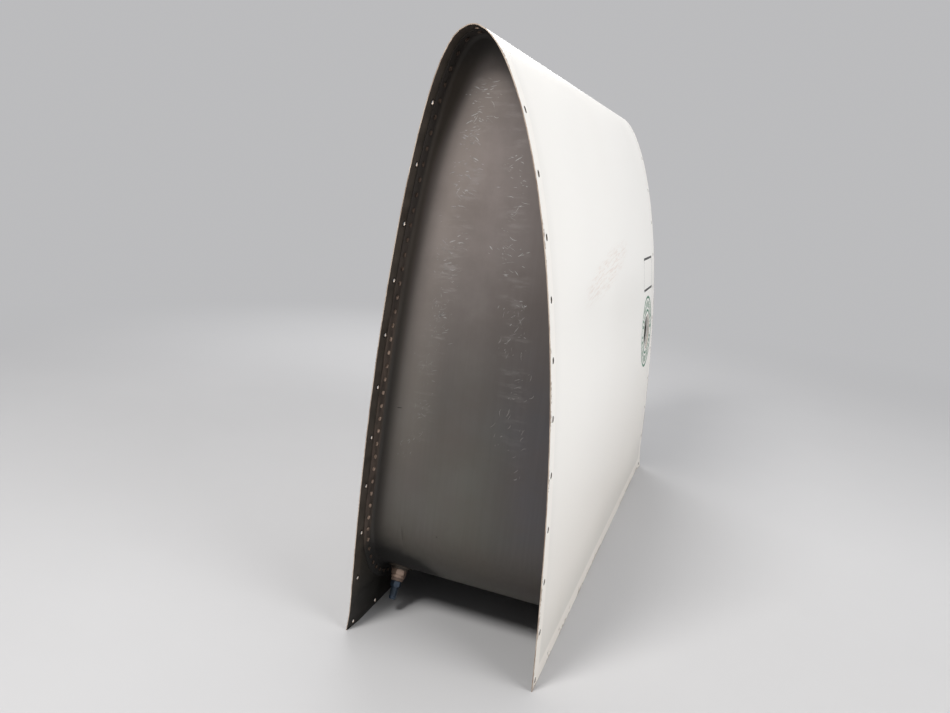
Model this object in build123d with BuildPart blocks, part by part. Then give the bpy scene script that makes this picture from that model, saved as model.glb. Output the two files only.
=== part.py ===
from build123d import *
import os
from math import atan2, cos, hypot, pi, radians, sin, sqrt, tan

# Wing leading-edge fuel tank, standing on the aft edges of its skins.
# +Z points to the leading edge, +X to the upper skin, -Y to the inboard end.
# The origin is at the middle of the bottom of the tank.

# Overall sizes
span = 914.4
tank_height = 711.2
tank_depth = 241.0
nose_offset = 25.6

# Sheet and seams
skin_gauge = 1.0
rib_gauge = 1.0
wall_gauge = 1.0
baffle_gauge = 0.8
seam_gap = 0.15

# Screw holes round the edges of the wrapped skin
screw_hole_radius = 2.2
screw_pitch = 63.5
end_row_edge = 12.7
aft_row_edge = 8.0
end_row_count = 11

# End ribs
rib_setback = 40.0
rib_flange = 21.0
rib_bend_radius = 103.0
rib_lap = 30.0

# Rear wall
rear_wall_height = 47.0
wall_flange = 21.0

# Baffles
baffle_count = 3
baffle_flange = 18.0
lightening_radii = (45.0, 43.0, 34.0)
lightening_heights = (190.0, 345.0, 480.0)
notch_radius = 12.0

# Rivets
rivet_radius = 2.4
rivet_tail = 1.3
rivet_line = 12.0
rivet_pitch = 16.5
baffle_rivet_pitch = 25.4
tail_gap = 0.35

# Filler neck, on the upper skin
filler_height = 308.0
filler_to_end = 101.2
filler_opening_radius = 34.0
neck_bore_radius = 30.0
neck_wall = 2.0
neck_flange_radius = 50.0
neck_flange_gauge = 1.6
neck_length = 38.0
neck_rivet_count = 12
neck_rivet_radius = 41.5
tab_width = 14.0
tab_gauge = 1.2
tab_length = 55.0
tab_overlap = 16.0
tab_foot = 9.0

# Fuel outlet, on the bend of the inboard end rib
outlet_from_lower = 29.5
outlet_angle = 60.0
boss_radius = 16.0
boss_gauge = 1.6
boss_hub_radius = 12.0
boss_hub_height = 2.5
bushing_flats = 18.0
bushing_height = 11.5
bushing_thread_radius = 8.0
bushing_thread_length = 9.0
outlet_bore_radius = 3.4
seal_radius = 8.2
seal_height = 4.2
nipple_shank_radius = 5.0
nipple_shank_length = 14.0
nipple_hex_flats = 12.4
nipple_hex_height = 8.0
nipple_radius = 5.2
nipple_length = 17.0
nipple_cone = 4.0
strainer_rim_radius = 7.0
strainer_rim = 2.0
strainer_radius = 5.2
strainer_wall = 0.6
strainer_length = 62.0
thread_gap = 0.1

# Sender port, on the rear wall
sender_x = 0.0
sender_bore_radius = 26.0
sender_ring_radius = 40.0
sender_ring_gauge = 2.5
sender_circle_radius = 33.0
sender_screw_radius = 2.2
sender_screw_count = 5
sender_rivet_count = 5

# Vent, on the rear wall near the upper skin
vent_from_upper = 52.5
vent_clearance_y = 34.0
vent_tube_radius = 4.76
vent_tube_wall = 0.9
vent_run = 190.0
vent_bend_radius = 22.0
vent_end_gap = 10.0
vent_hex_flats = 16.0
vent_hex_height = 8.0
vent_spigot_radius = 5.5
vent_spigot_length = 12.0
vent_bore_radius = 3.8
vent_shank_rise = 9.0
vent_nut_flats = 17.5
vent_nut_height = 5.0
clip_height = 120.0
clip_width = 12.0
clip_gauge = 1.0
clip_foot = 14.0

# Sump drain, low on the lower skin
drain_height = 95.0
drain_y = -300.0
drain_boss_radius = 20.0
drain_boss_gauge = 1.6
drain_hub_radius = 11.0
drain_hub_height = 9.0
drain_bore_radius = 6.5
drain_rivet_radius = 15.5
drain_rivet_count = 6
drain_plug_depth = 1.0
drain_socket_flats = 8.0
drain_socket_depth = 5.0

half_span = span / 2
web_y = half_span - rib_setback
filler_y = half_span - filler_to_end
outlet_x = outlet_from_lower - tank_depth / 2
vent_x = tank_depth / 2 - vent_from_upper
depth_terms = (1.4406, -1.0206, 2.75, -3.4571, 1.2871)
camber_terms = (-1.0, -0.658, 6.953, -8.508, 3.236)
outline_steps = 6


# The aerofoil section. u is 0 at the nose, 1 at the upper aft edge and
# -1 at the lower aft edge, and the height falls with the square of u.
def raw_point(u):
    share = abs(u)
    side = 1 if u >= 0 else -1
    half = tank_depth / 2 * sum(term * share ** (k + 1) for k, term in enumerate(depth_terms))
    middle = nose_offset * sum(term * share**k for k, term in enumerate(camber_terms))
    return middle + side * half, tank_height * (1 - u * u)


section_reach = [raw_point(k / 100)[0] for k in range(-100, 101)]
section_middle = (max(section_reach) + min(section_reach)) / 2


def skin_point(u, inset=0.0):
    """A point of the section, moved inwards from the outer face, and the inward normal."""
    ahead = raw_point(u + 0.001)
    behind = raw_point(u - 0.001)
    run = hypot(ahead[0] - behind[0], ahead[1] - behind[1])
    normal_x = (ahead[1] - behind[1]) / run
    normal_z = (behind[0] - ahead[0]) / run
    x, z = raw_point(u)
    return x - section_middle + inset * normal_x, z + inset * normal_z, normal_x, normal_z


def share_at_height(z):
    return sqrt(1 - z / tank_height)


def skin_x(side, z):
    return skin_point(side * share_at_height(z))[0]


def skin_length(side, z):
    """The run of the skin from its aft edge up to a height."""
    shares = [side * (1 + (share_at_height(z) - 1) * k / 400) for k in range(401)]
    points = [raw_point(u) for u in shares]
    return sum(hypot(b[0] - a[0], b[1] - a[1]) for a, b in zip(points, points[1:]))


def share_at_distance(distance):
    """The share u at a distance along the skin from the upper aft edge, or the lower if negative."""
    side = 1 if distance >= 0 else -1
    u = 1.0
    walked = 0.0
    while walked < abs(distance):
        x0, z0 = raw_point(side * u)
        u -= 0.0005
        x1, z1 = raw_point(side * u)
        walked += hypot(x1 - x0, z1 - z0)
    return side * u


def skin_plane(u, y, inset):
    """A plane on the section at y, with +Z pointing into the tank."""
    x, z, normal_x, normal_z = skin_point(u, inset)
    return Plane(origin=(x, y, z), x_dir=(0, 1, 0), z_dir=(normal_x, 0, normal_z))


def heading(u):
    ahead = raw_point(u + 0.001)
    behind = raw_point(u - 0.001)
    return atan2(ahead[1] - behind[1], ahead[0] - behind[0])


def arc_middle(start, end):
    """The middle of the arc that leaves start, a point and a heading, and ends at end."""
    chord = atan2(end[1] - start[1], end[0] - start[0])
    rise = hypot(end[0] - start[0], end[1] - start[1]) / 2 * tan((start[2] - chord) / 2)
    return (start[0] + end[0]) / 2 - rise * sin(chord), (start[1] + end[1]) / 2 + rise * cos(chord), chord


def arc_pair(start, end):
    """The points of two arcs that join start to end and keep both headings."""
    run = (end[0] - start[0], end[1] - start[1])
    sum_x = cos(start[2]) + cos(end[2])
    sum_z = sin(start[2]) + sin(end[2])
    spread = 2 * (1 - cos(start[2] - end[2]))
    across = run[0] * sum_x + run[1] * sum_z
    reach = (run[0] ** 2 + run[1] ** 2) / (across + sqrt(across**2 + spread * (run[0] ** 2 + run[1] ** 2)))
    join_x = (start[0] + end[0] + reach * (cos(start[2]) - cos(end[2]))) / 2
    join_z = (start[1] + end[1] + reach * (sin(start[2]) - sin(end[2]))) / 2
    first = arc_middle(start, (join_x, join_z))
    join = (join_x, join_z, 2 * first[2] - start[2])
    return [first, join, arc_middle(join, end)]


def section_arcs():
    """The section as points and headings: the start, the middle and the end of each arc in turn."""
    shares = [step / outline_steps for step in range(-outline_steps, outline_steps + 1)]
    stations = [(raw_point(u)[0] - section_middle, raw_point(u)[1], heading(u)) for u in shares]
    chain = stations[:1]
    for start, end in zip(stations, stations[1:]):
        chain += arc_pair(start, end) + [end]
    return chain


section_chain = section_arcs()


def outline(inset):
    points = [(x + inset * sin(turn), z - inset * cos(turn)) for x, z, turn in section_chain]
    points[0] = (points[0][0], 0)
    points[-1] = (points[-1][0], 0)
    return points


def section_band(outer_inset, inner_inset):
    """The strip of the section between two depths under the outer face."""
    outer = outline(outer_inset)
    inner = outline(inner_inset)
    with BuildSketch(Plane.XZ) as band:
        with BuildLine():
            for edge in (outer, inner):
                for k in range(0, len(edge) - 1, 2):
                    ThreePointArc(edge[k], edge[k + 1], edge[k + 2])
            Line(outer[-1], inner[-1])
            Line(inner[0], outer[0])
        make_face()
    return band.sketch


def section_core(inset):
    """The whole section inside a depth under the outer face."""
    edge = outline(inset)
    with BuildSketch(Plane.XZ) as core:
        with BuildLine():
            for k in range(0, len(edge) - 1, 2):
                ThreePointArc(edge[k], edge[k + 1], edge[k + 2])
            Line(edge[-1], edge[0])
        make_face()
    return core.sketch


def bent_band(inner, outer, lap_end):
    """Side view of an end rib: up the web, round the bend and along the rear wall."""
    centre_y = web_y - rib_bend_radius
    centre_z = rear_wall_height + rib_bend_radius
    top = tank_height + outer
    low = rib_bend_radius + inner
    high = rib_bend_radius + outer
    with BuildSketch(Plane.YZ) as band:
        with BuildLine():
            Line((-lap_end, centre_z - low), (-centre_y, centre_z - low))
            CenterArc((-centre_y, centre_z), low, 180, 90)
            Line((-centre_y - low, centre_z), (-centre_y - low, top))
            Line((-centre_y - low, top), (-centre_y - high, top))
            Line((-centre_y - high, top), (-centre_y - high, centre_z))
            CenterArc((-centre_y, centre_z), high, 180, 90)
            Line((-centre_y, centre_z - high), (-lap_end, centre_z - high))
            Line((-lap_end, centre_z - high), (-lap_end, centre_z - low))
        make_face()
    return band.sketch


flange_face = skin_gauge + seam_gap
lap_end = web_y - rib_bend_radius - rib_lap
plate_bottom = rear_wall_height + rib_gauge + seam_gap
plate_top = plate_bottom + wall_gauge
baffle_bottom = plate_top + seam_gap
baffle_spacing = 2 * web_y / (baffle_count + 1)
baffle_places = [baffle_spacing * (k + 1) - web_y for k in range(baffle_count)]
sender_y = -baffle_spacing / 2

filler_share = share_at_height(filler_height)
filler_plane = skin_plane(filler_share, filler_y, 0)
drain_share = -share_at_height(drain_height)
drain_plane = skin_plane(drain_share, drain_y, 0)

bend_centre_y = -(web_y - rib_bend_radius)
bend_centre_z = rear_wall_height + rib_bend_radius
outlet_out = Vector(0, -cos(radians(outlet_angle)), -sin(radians(outlet_angle)))
outlet_seat = Vector(outlet_x, bend_centre_y, bend_centre_z) + outlet_out * rib_bend_radius
outlet_plane = Plane(origin=outlet_seat, x_dir=(1, 0, 0), z_dir=outlet_out)

sender_plane = Plane(origin=(sender_x, sender_y, plate_bottom), x_dir=(1, 0, 0), z_dir=(0, 0, -1))
vent_y = baffle_places[-1] + vent_clearance_y
vent_plane = Plane(origin=(vent_x, vent_y, plate_bottom), x_dir=(1, 0, 0), z_dir=(0, 0, -1))

# Places of the screw holes, on the outer face of the skin
screw_places = [skin_plane(0, side * (half_span - end_row_edge), 0) for side in (-1, 1)]
for skin_side in (-1, 1):
    for row_step in range(end_row_count):
        screw_share = share_at_distance(skin_side * (aft_row_edge + row_step * screw_pitch))
        for side in (-1, 1):
            screw_places.append(skin_plane(screw_share, side * (half_span - end_row_edge), 0))
    aft_share = share_at_distance(skin_side * aft_row_edge)
    aft_row_run = span - 2 * end_row_edge
    aft_row_steps = round(aft_row_run / screw_pitch)
    for row_step in range(1, aft_row_steps):
        y = end_row_edge - half_span + row_step * aft_row_run / aft_row_steps
        screw_places.append(skin_plane(aft_share, y, 0))

# Skin: one sheet wrapped round the leading edge
with BuildPart() as skin:
    extrude(section_band(0, skin_gauge), amount=half_span, both=True)
    with Locations(*[Location(place) for place in screw_places]):
        Cylinder(screw_hole_radius, 6 * skin_gauge, mode=Mode.SUBTRACT)
    with Locations(Location(filler_plane)):
        Cylinder(filler_opening_radius, 12 * skin_gauge, mode=Mode.SUBTRACT)
    with Locations(Location(drain_plane)):
        Cylinder(drain_hub_radius + seam_gap, 12 * skin_gauge, mode=Mode.SUBTRACT)
skin.part.label = "skin"


def end_rib():
    """The inboard end rib: web, bend and lap in one pressed sheet, with a flange all round."""
    with BuildPart() as web:
        extrude(section_core(flange_face), amount=half_span, both=True)
        extrude(bent_band(-rib_gauge, 0, lap_end), amount=tank_depth, both=True, mode=Mode.INTERSECT)
    with BuildPart() as rib:
        extrude(section_band(flange_face, flange_face + rib_gauge), amount=half_span, both=True)
        extrude(bent_band(-rib_gauge, rib_flange, lap_end), amount=tank_depth, both=True, mode=Mode.INTERSECT)
        add(web.part)
    return rib.part


rib_blank = end_rib()

with BuildPart() as inboard_end_rib:
    add(rib_blank)
    with Locations(Location(outlet_plane)):
        Cylinder(bushing_thread_radius + thread_gap, 12 * rib_gauge, mode=Mode.SUBTRACT)
inboard_end_rib.part.label = "inboard_end_rib"

with BuildPart() as outboard_end_rib:
    mirror(rib_blank, about=Plane.XZ)
outboard_end_rib.part.label = "outboard_end_rib"

# Rear wall: a plate across the section, flanged aft along both skins between the end rib laps
with BuildPart() as wall_plate:
    extrude(section_core(flange_face), amount=web_y - rib_bend_radius, both=True)
    with BuildSketch(Plane.XY.offset(plate_bottom)):
        Rectangle(2 * tank_depth, span)
    extrude(amount=wall_gauge, mode=Mode.INTERSECT)

with BuildPart() as rear_wall:
    extrude(section_band(flange_face, flange_face + wall_gauge), amount=lap_end - seam_gap, both=True)
    with BuildSketch(Plane.XY.offset(plate_bottom - wall_flange)):
        Rectangle(2 * tank_depth, span)
    extrude(amount=wall_flange + wall_gauge, mode=Mode.INTERSECT)
    add(wall_plate.part)
    with Locations(Location(sender_plane)):
        Cylinder(sender_bore_radius, 6 * wall_gauge, mode=Mode.SUBTRACT)
        with PolarLocations(sender_circle_radius, sender_screw_count):
            Cylinder(sender_screw_radius, 6 * wall_gauge, mode=Mode.SUBTRACT)
    with Locations(Location(vent_plane)):
        Cylinder(vent_spigot_radius + thread_gap, 6 * wall_gauge, mode=Mode.SUBTRACT)
rear_wall.part.label = "rear_wall"

# Baffles: inner ribs with lightening holes, flanged outboard along the skins and the rear wall
foot_low = skin_x(-1, baffle_bottom) + flange_face + notch_radius
foot_high = skin_x(1, baffle_bottom) - flange_face - notch_radius


def baffle(y):
    near = Plane.XZ.offset(-y)
    to_place = Location((0, y, 0))
    with BuildPart() as web:
        extrude(section_core(flange_face).moved(to_place), amount=-baffle_gauge)
        with BuildSketch(near):
            with Locations((0, baffle_bottom)):
                Rectangle(2 * tank_depth, tank_height, align=(Align.CENTER, Align.MIN))
            for radius, height in zip(lightening_radii, lightening_heights):
                with Locations(((skin_x(-1, height) + skin_x(1, height)) / 2, height)):
                    Circle(radius, mode=Mode.SUBTRACT)
            with Locations((foot_low - notch_radius, baffle_bottom), (foot_high + notch_radius, baffle_bottom)):
                Circle(notch_radius, mode=Mode.SUBTRACT)
        extrude(amount=-baffle_gauge, mode=Mode.INTERSECT)
    with BuildPart() as rib:
        extrude(section_band(flange_face, flange_face + baffle_gauge).moved(to_place), amount=-baffle_flange)
        with BuildSketch(near):
            with Locations((0, baffle_bottom + notch_radius)):
                Rectangle(2 * tank_depth, tank_height, align=(Align.CENTER, Align.MIN))
        extrude(amount=-baffle_flange, mode=Mode.INTERSECT)
        add(web.part)
        with Locations(((foot_low + foot_high) / 2, y, baffle_bottom)):
            Box(foot_high - foot_low, baffle_flange, baffle_gauge, align=(Align.CENTER, Align.MIN, Align.MIN))
    return rib.part


baffles = {}
for name, y in zip(("inner_baffle", "middle_baffle", "outer_baffle"), baffle_places):
    baffles[name] = baffle(y)
    baffles[name].label = name


# Rivets: each is set flush outside, and its formed tail stands on the inner face
def even_steps(start, end, pitch):
    count = max(1, round((end - start) / pitch))
    return [start + (end - start) * k / count for k in range(count + 1)]


def along_skins(low_z, pitch, y, inset):
    """Rivet places all round the nose, from one height on the lower skin to the same on the upper."""
    reach = [skin_length(side, tank_height) for side in (-1, 1)]
    start = skin_length(-1, low_z) - reach[0]
    end = reach[1] - skin_length(1, low_z)
    places = []
    for d in even_steps(start, end, pitch):
        share = share_at_distance(reach[1] - d if d >= 0 else -(reach[0] + d))
        places.append(skin_plane(share, y, inset))
    return places


def rib_rivet_places(side):
    inset = flange_face + rib_gauge + tail_gap
    line_radius = rib_bend_radius + rivet_line
    places = along_skins(bend_centre_z, rivet_pitch, side * (web_y + rivet_line), inset)
    for angle in even_steps(0, pi / 2, rivet_pitch / line_radius)[1:]:
        y = side * (-bend_centre_y + line_radius * cos(angle))
        share = share_at_height(bend_centre_z - line_radius * sin(angle))
        places += [skin_plane(share, y, inset), skin_plane(-share, y, inset)]
    share = share_at_height(bend_centre_z - line_radius)
    for y in even_steps(-bend_centre_y, lap_end + rivet_line / 2, rivet_pitch)[1:]:
        places += [skin_plane(share, side * y, inset), skin_plane(-share, side * y, inset)]
    return places


def wall_rivet_places():
    inset = flange_face + wall_gauge + tail_gap
    share = share_at_height(plate_bottom - rivet_line)
    places = []
    for y in even_steps(rivet_line / 2 - lap_end, lap_end - rivet_line / 2, rivet_pitch):
        places += [skin_plane(share, y, inset), skin_plane(-share, y, inset)]
    for x in even_steps(foot_low, foot_high, baffle_rivet_pitch):
        for y in (-lap_end - rib_lap / 2, lap_end + rib_lap / 2):
            places.append(Plane((x, y, plate_top + tail_gap)))
    return places


def baffle_rivet_places(y):
    middle = y + baffle_flange / 2
    low = baffle_bottom + notch_radius + rivet_line
    places = along_skins(low, baffle_rivet_pitch, middle, flange_face + baffle_gauge + tail_gap)
    for x in even_steps(foot_low + rivet_line, foot_high - rivet_line, baffle_rivet_pitch):
        places.append(Plane((x, middle, baffle_bottom + baffle_gauge + tail_gap)))
    return places


def ring_on_skin(side, height, y, radius, count, inset):
    """Rivet places in a ring about a fitting on a skin."""
    share = side * share_at_height(height)
    rise = abs(skin_plane(share, y, 0).z_dir.X)
    places = []
    for k in range(count):
        turn = 2 * pi * (k + 0.5) / count
        ring_share = side * share_at_height(height + radius * cos(turn) * rise)
        places.append(skin_plane(ring_share, y + radius * sin(turn), inset))
    return places


rivet_places = {
    "inboard_rib_rivets": rib_rivet_places(-1),
    "outboard_rib_rivets": rib_rivet_places(1),
    "rear_wall_rivets": wall_rivet_places(),
    "inner_baffle_rivets": baffle_rivet_places(baffle_places[0]),
    "middle_baffle_rivets": baffle_rivet_places(baffle_places[1]),
    "outer_baffle_rivets": baffle_rivet_places(baffle_places[2]),
}
neck_inset = flange_face + neck_flange_gauge + tail_gap
rivet_places["filler_neck_rivets"] = ring_on_skin(
    1, filler_height, filler_y, neck_rivet_radius, neck_rivet_count, neck_inset
)
drain_inset = flange_face + drain_boss_gauge + tail_gap
rivet_places["drain_boss_rivets"] = ring_on_skin(
    -1, drain_height, drain_y, drain_rivet_radius, drain_rivet_count, drain_inset
)
sender_rivets = []
for k in range(sender_rivet_count):
    turn = 2 * pi * (k + 0.5) / sender_rivet_count
    x = sender_x + sender_circle_radius * cos(turn)
    sender_rivets.append(Plane((x, sender_y + sender_circle_radius * sin(turn), plate_top + tail_gap)))
rivet_places["sender_ring_rivets"] = sender_rivets

rivet_sets = {}
for name, places in rivet_places.items():
    with BuildPart() as rivet_set:
        with Locations(*[Location(place) for place in places]):
            Cylinder(rivet_radius, rivet_tail, align=(Align.CENTER, Align.CENTER, Align.MIN))
    rivet_sets[name] = rivet_set.part
    rivet_sets[name].label = name

# Filler neck: a flange inside the upper skin with a straight collar
at_start = (Align.CENTER, Align.CENTER, Align.MIN)
collar_radius = neck_bore_radius + neck_wall
with BuildPart() as filler_neck:
    extrude(section_band(flange_face, flange_face + neck_flange_gauge), amount=half_span, both=True)
    with Locations(Location(filler_plane)):
        Cylinder(neck_flange_radius, 2 * neck_flange_radius, mode=Mode.INTERSECT)
    with Locations(Location(filler_plane.offset(flange_face + neck_flange_gauge / 2))):
        Cylinder(collar_radius, neck_length, align=at_start)
    with Locations(Location(filler_plane)):
        Cylinder(neck_bore_radius, 4 * neck_length, mode=Mode.SUBTRACT)
filler_neck.part.label = "filler_neck"

# Level tab: a bent strip on the collar that marks a part-full tank
tab_start = neck_length - tab_overlap
with BuildPart() as level_tab:
    with Locations(Location(filler_plane)):
        with Locations((-collar_radius - seam_gap - tab_gauge, 0, tab_start)):
            Box(tab_gauge, tab_width, tab_length, align=(Align.MIN, Align.CENTER, Align.MIN))
        with Locations((-collar_radius - seam_gap, 0, tab_start + tab_length - tab_gauge)):
            Box(tab_foot, tab_width, tab_gauge, align=(Align.MIN, Align.CENTER, Align.MIN))
level_tab.part.label = "level_tab"

# Fuel outlet: a boss on the bend of the inboard end rib, a bushing, a seal and a nipple
hub_top = seam_gap + boss_gauge + boss_hub_height
with BuildPart() as outlet_boss:
    with BuildSketch(Plane.YZ):
        with Locations((bend_centre_y, bend_centre_z)):
            Circle(rib_bend_radius + seam_gap + boss_gauge)
            Circle(rib_bend_radius + seam_gap, mode=Mode.SUBTRACT)
    extrude(amount=tank_depth, both=True)
    with Locations(Location(outlet_plane)):
        Cylinder(boss_radius, 2 * boss_radius, mode=Mode.INTERSECT)
    with Locations(Location(outlet_plane.offset(seam_gap + boss_gauge / 2))):
        Cylinder(boss_hub_radius, boss_gauge / 2 + boss_hub_height, align=at_start)
    with Locations(Location(outlet_plane)):
        Cylinder(bushing_thread_radius + thread_gap, 2 * boss_radius, mode=Mode.SUBTRACT)
outlet_boss.part.label = "outlet_boss"

bushing_foot = outlet_plane.offset(hub_top + seam_gap)
with BuildPart() as outlet_bushing:
    with BuildSketch(bushing_foot):
        RegularPolygon(bushing_flats / 2, 6, major_radius=False)
    extrude(amount=bushing_height)
    with Locations(Location(bushing_foot.offset(-bushing_thread_length))):
        Cylinder(bushing_thread_radius, bushing_thread_length, align=at_start)
    with Locations(Location(bushing_foot)):
        Cylinder(nipple_shank_radius + thread_gap, 4 * bushing_height, mode=Mode.SUBTRACT)
outlet_bushing.part.label = "outlet_bushing"

seal_foot = bushing_foot.offset(bushing_height + seam_gap)
with BuildPart() as outlet_seal:
    with Locations(Location(seal_foot)):
        Cylinder(seal_radius, seal_height, align=at_start)
        Cylinder(nipple_shank_radius + thread_gap, 4 * seal_height, mode=Mode.SUBTRACT)
outlet_seal.part.label = "outlet_seal"

nipple_foot = seal_foot.offset(seal_height + seam_gap)
nipple_end = nipple_hex_height + nipple_length
with BuildPart() as outlet_nipple:
    with BuildSketch(nipple_foot):
        RegularPolygon(nipple_hex_flats / 2, 6, major_radius=False)
    extrude(amount=nipple_hex_height)
    with Locations(Location(nipple_foot)):
        Cylinder(nipple_radius, nipple_end - nipple_cone, align=at_start)
    with Locations(Location(nipple_foot.offset(nipple_end - nipple_cone))):
        Cone(nipple_radius, outlet_bore_radius + thread_gap, nipple_cone, align=at_start)
    with Locations(Location(nipple_foot.offset(-nipple_shank_length))):
        Cylinder(nipple_shank_radius, nipple_shank_length, align=at_start)
    with Locations(Location(nipple_foot)):
        Cylinder(outlet_bore_radius, 4 * nipple_end, mode=Mode.SUBTRACT)
outlet_nipple.part.label = "outlet_nipple"

strainer_foot = bushing_foot.offset(-bushing_thread_length - seam_gap)
with BuildPart() as outlet_strainer:
    with Locations(Location(strainer_foot.offset(-strainer_rim))):
        Cylinder(strainer_rim_radius, strainer_rim, align=at_start)
    with Locations(Location(strainer_foot.offset(-strainer_length))):
        Cylinder(strainer_radius, strainer_length, align=at_start)
    with Locations(Location(strainer_foot.offset(strainer_wall - strainer_length))):
        Cylinder(strainer_radius - strainer_wall, strainer_length, align=at_start, mode=Mode.SUBTRACT)
outlet_strainer.part.label = "outlet_strainer"

# Sender port: a tapped ring under the rear wall
with BuildPart() as sender_ring:
    with BuildSketch(sender_plane.offset(seam_gap)):
        Circle(sender_ring_radius)
        Circle(sender_bore_radius, mode=Mode.SUBTRACT)
        with PolarLocations(sender_circle_radius, sender_screw_count):
            Circle(sender_screw_radius, mode=Mode.SUBTRACT)
    extrude(amount=sender_ring_gauge)
sender_ring.part.label = "sender_ring"

# Vent: a fitting through the rear wall, its nut, the tube up beside the upper skin and a clip
with BuildPart() as vent_fitting:
    with BuildSketch(vent_plane.offset(seam_gap)):
        RegularPolygon(vent_hex_flats / 2, 6, major_radius=False)
    extrude(amount=vent_hex_height)
    with Locations(Location(vent_plane.offset(seam_gap))):
        Cylinder(vent_spigot_radius, vent_hex_height + vent_spigot_length, align=at_start)
    with Locations((vent_x, vent_y, plate_bottom - seam_gap)):
        Cylinder(vent_spigot_radius, vent_shank_rise, align=at_start)
        Cylinder(vent_bore_radius, 8 * vent_hex_height, mode=Mode.SUBTRACT)
vent_fitting.part.label = "vent_fitting"

with BuildPart() as vent_nut:
    with BuildSketch(Plane.XY.offset(plate_top + seam_gap)):
        with Locations((vent_x, vent_y)):
            RegularPolygon(vent_nut_flats / 2, 6, major_radius=False)
            Circle(vent_spigot_radius + thread_gap, mode=Mode.SUBTRACT)
    extrude(amount=vent_nut_height)
vent_nut.part.label = "vent_nut"

tube_start = plate_bottom + vent_shank_rise
tube_top = tube_start + vent_run
tube_end = skin_x(1, tube_top + vent_bend_radius) - flange_face - vent_end_gap
with BuildPart() as vent_tube:
    with BuildLine(Plane.XZ.offset(-vent_y)):
        Line((vent_x, tube_start), (vent_x, tube_top))
        CenterArc((vent_x + vent_bend_radius, tube_top), vent_bend_radius, 90, 90)
        Line((vent_x + vent_bend_radius, tube_top + vent_bend_radius), (tube_end, tube_top + vent_bend_radius))
    with BuildSketch(Plane.XY.offset(tube_start)):
        with Locations((vent_x, vent_y)):
            Circle(vent_tube_radius)
            Circle(vent_tube_radius - vent_tube_wall, mode=Mode.SUBTRACT)
    sweep()
vent_tube.part.label = "vent_tube"

clip_bore = vent_tube_radius + thread_gap
clip_face = baffle_places[-1] + baffle_gauge + seam_gap
with BuildPart() as vent_clip:
    with BuildSketch(Plane.XY.offset(clip_height)):
        with Locations((vent_x, vent_y)):
            Circle(clip_bore + clip_gauge)
        with Locations((vent_x, clip_face)):
            Rectangle(clip_gauge, vent_y - clip_face, align=(Align.CENTER, Align.MIN))
            Rectangle(clip_foot, clip_gauge, align=(Align.MIN, Align.MIN))
        with Locations((vent_x, vent_y)):
            Circle(clip_bore, mode=Mode.SUBTRACT)
    extrude(amount=clip_width)
vent_clip.part.label = "vent_clip"

with BuildPart() as vent_clip_rivet:
    with Locations(Location(Plane.XZ.offset(-clip_face - clip_gauge - tail_gap))):
        with Locations((vent_x + clip_foot * 0.6, clip_height + clip_width / 2, 0)):
            Cylinder(rivet_radius, rivet_tail, align=(Align.CENTER, Align.CENTER, Align.MAX))
vent_clip_rivet.part.label = "vent_clip_rivet"

# Sump drain: a boss through the lower skin and a plug set flush in it
with BuildPart() as drain_boss:
    extrude(section_band(flange_face, flange_face + drain_boss_gauge), amount=half_span, both=True)
    with Locations(Location(drain_plane)):
        Cylinder(drain_boss_radius, 2 * drain_boss_radius, mode=Mode.INTERSECT)
        Cylinder(drain_hub_radius, drain_hub_height, align=at_start)
        Cylinder(drain_bore_radius, 4 * drain_hub_height, mode=Mode.SUBTRACT)
drain_boss.part.label = "drain_boss"

with BuildPart() as drain_plug:
    with Locations(Location(drain_plane.offset(drain_plug_depth))):
        Cylinder(drain_bore_radius - thread_gap, drain_hub_height - drain_plug_depth, align=at_start)
    with BuildSketch(drain_plane.offset(drain_plug_depth)):
        RegularPolygon(drain_socket_flats / 2, 6, major_radius=False)
    extrude(amount=drain_socket_depth, mode=Mode.SUBTRACT)
drain_plug.part.label = "drain_plug"

os.makedirs("parts", exist_ok=True)
pieces = [skin, inboard_end_rib, outboard_end_rib, rear_wall, filler_neck, level_tab, outlet_boss]
pieces += [outlet_bushing, outlet_seal, outlet_nipple, outlet_strainer, sender_ring, vent_fitting]
pieces += [vent_nut, vent_tube, vent_clip, vent_clip_rivet, drain_boss, drain_plug]
for piece in pieces:
    export_step(piece.part, f"parts/{piece.part.label}.step")
for piece in list(baffles.values()) + list(rivet_sets.values()):
    export_step(piece, f"parts/{piece.label}.step")
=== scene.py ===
import bmesh
import bpy
import numpy as np
from math import atan2, ceil, cos, hypot, pi, radians, sin, sqrt
from mathutils import Matrix, Vector


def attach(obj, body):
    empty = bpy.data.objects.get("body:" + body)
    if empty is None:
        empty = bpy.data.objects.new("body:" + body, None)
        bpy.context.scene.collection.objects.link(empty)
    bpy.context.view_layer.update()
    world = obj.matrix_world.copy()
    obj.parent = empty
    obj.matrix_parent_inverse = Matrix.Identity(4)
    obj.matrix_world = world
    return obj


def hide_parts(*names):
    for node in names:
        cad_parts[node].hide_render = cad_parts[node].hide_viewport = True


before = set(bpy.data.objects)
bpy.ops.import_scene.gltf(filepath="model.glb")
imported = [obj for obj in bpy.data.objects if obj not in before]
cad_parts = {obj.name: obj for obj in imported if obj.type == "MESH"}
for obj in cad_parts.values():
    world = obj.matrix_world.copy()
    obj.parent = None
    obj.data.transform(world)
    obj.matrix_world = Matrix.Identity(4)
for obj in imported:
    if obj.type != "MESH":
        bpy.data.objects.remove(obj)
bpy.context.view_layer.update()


# Skin
# One sheet of 1 mm aluminium is wrapped round the leading edge from aft edge to aft edge. It is
# painted white outside, bare inside, and drilled with dimpled screw holes along its free margins.
tank_depth = 0.241
tank_height = 0.7112
half_span = 0.4572
nose_offset = 0.0256
skin_gauge = 0.001
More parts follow.
